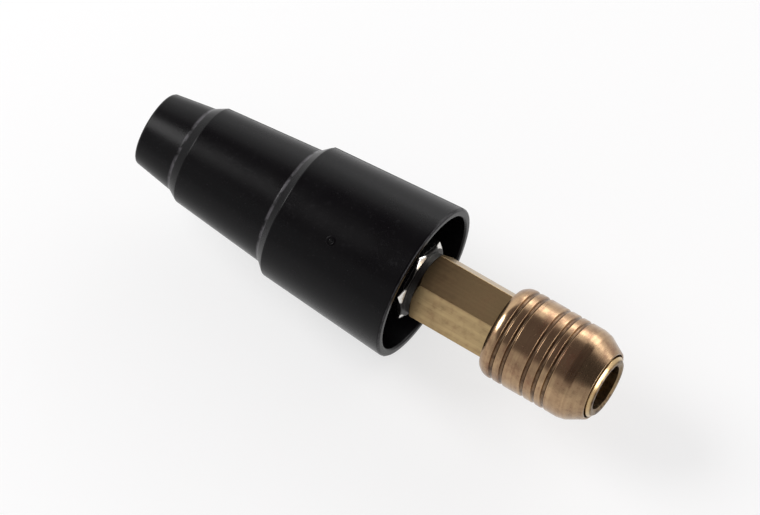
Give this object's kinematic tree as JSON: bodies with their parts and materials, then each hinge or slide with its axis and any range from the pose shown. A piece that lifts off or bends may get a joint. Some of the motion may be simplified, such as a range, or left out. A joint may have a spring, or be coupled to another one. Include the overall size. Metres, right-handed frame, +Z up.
{
  "type": "quick disconnect coupler",
  "caption": "Compressed-air quick disconnect coupler: a ribbed sleeve that pulls back to free the plug, a shut-off valve, and a hose tail with a stepped boot.",
  "frame": {"origin": "centre of the nose face, at the mouth of the plug bore", "axes": "+X along the axis, out of the nose; +Z up, square to a flat of the adaptor's hexagon"},
  "size_m": [0.1334, 0.0416, 0.0416],
  "materials": {
    "body_brass": "machined",
    "sleeve_brass": "turned, ribbed",
    "valve_brass": "machined",
    "ferrule_brass": "crimped",
    "nickel_plate": "bright nickel plate",
    "spring_steel": "bright wire",
    "ball_steel": "polished",
    "washer_steel": "satin",
    "seal_rubber": "matt",
    "boot_rubber": "satin moulded"
  },
  "bodies": {
    "root": {"front_body": "body_brass", "hex_adaptor": "body_brass", "snap_ring": "spring_steel", "plug_seal": "seal_rubber", "body_seal": "seal_rubber", "valve_guide": "valve_brass", "valve_spring": "spring_steel", "thread_washer": "washer_steel", "hose_tail": "nickel_plate", "ferrule": "ferrule_brass"},
    "spring_turn": {"sleeve_spring": "spring_steel"},
    "sleeve": {"locking_sleeve": "sleeve_brass"},
    "poppet": {"valve_poppet": "valve_brass", "valve_seal": "seal_rubber"},
    "boot": {"boot": "boot_rubber"},
    "ball_1": {"locking_ball_1": "ball_steel"},
    "ball_2": {"locking_ball_2": "ball_steel"},
    "ball_3": {"locking_ball_3": "ball_steel"},
    "ball_4": {"locking_ball_4": "ball_steel"},
    "ball_5": {"locking_ball_5": "ball_steel"},
    "ball_6": {"locking_ball_6": "ball_steel"}
  },
  "joints": [
    {"name": "sleeve_turn", "type": "hinge", "parent": "root", "child": "spring_turn", "pos_m": [-0.0199, 0, 0], "axis": [1, 0, 0], "continuous": true},
    {"name": "sleeve_pull", "type": "slide", "parent": "spring_turn", "child": "sleeve", "axis": [-1, 0, 0], "range_m": [0, 0.004], "stiffness_N_per_m": 1500, "springref_m": -0.006, "deforming": ["sleeve_spring"]},
    {"name": "valve_open", "type": "slide", "parent": "root", "child": "poppet", "axis": [-1, 0, 0], "range_m": [0, 0.0045], "stiffness_N_per_m": 600, "springref_m": -0.005, "deforming": ["valve_spring"]},
    {"name": "boot_slide", "type": "slide", "parent": "root", "child": "boot", "axis": [-1, 0, 0], "range_m": [0, 0.03]},
    {"name": "ball_release_1", "type": "slide", "parent": "root", "child": "ball_1", "axis": [0, 1, 0], "range_m": [0, 0.0013]},
    {"name": "ball_release_2", "type": "slide", "parent": "root", "child": "ball_2", "axis": [0, 0.5, 0.866], "range_m": [0, 0.0013]},
    {"name": "ball_release_3", "type": "slide", "parent": "root", "child": "ball_3", "axis": [0, -0.5, 0.866], "range_m": [0, 0.0013]},
    {"name": "ball_release_4", "type": "slide", "parent": "root", "child": "ball_4", "axis": [0, -1, 0], "range_m": [0, 0.0013]},
    {"name": "ball_release_5", "type": "slide", "parent": "root", "child": "ball_5", "axis": [0, -0.5, -0.866], "range_m": [0, 0.0013]},
    {"name": "ball_release_6", "type": "slide", "parent": "root", "child": "ball_6", "axis": [0, 0.5, -0.866], "range_m": [0, 0.0013]}
  ],
  "couplings": [
    {"joint": "ball_release_1", "follows": "sleeve_pull", "ratio": 0.3125},
    {"joint": "ball_release_2", "follows": "sleeve_pull", "ratio": 0.3125},
    {"joint": "ball_release_3", "follows": "sleeve_pull", "ratio": 0.3125},
    {"joint": "ball_release_4", "follows": "sleeve_pull", "ratio": 0.3125},
    {"joint": "ball_release_5", "follows": "sleeve_pull", "ratio": 0.3125},
    {"joint": "ball_release_6", "follows": "sleeve_pull", "ratio": 0.3125}
  ]
}
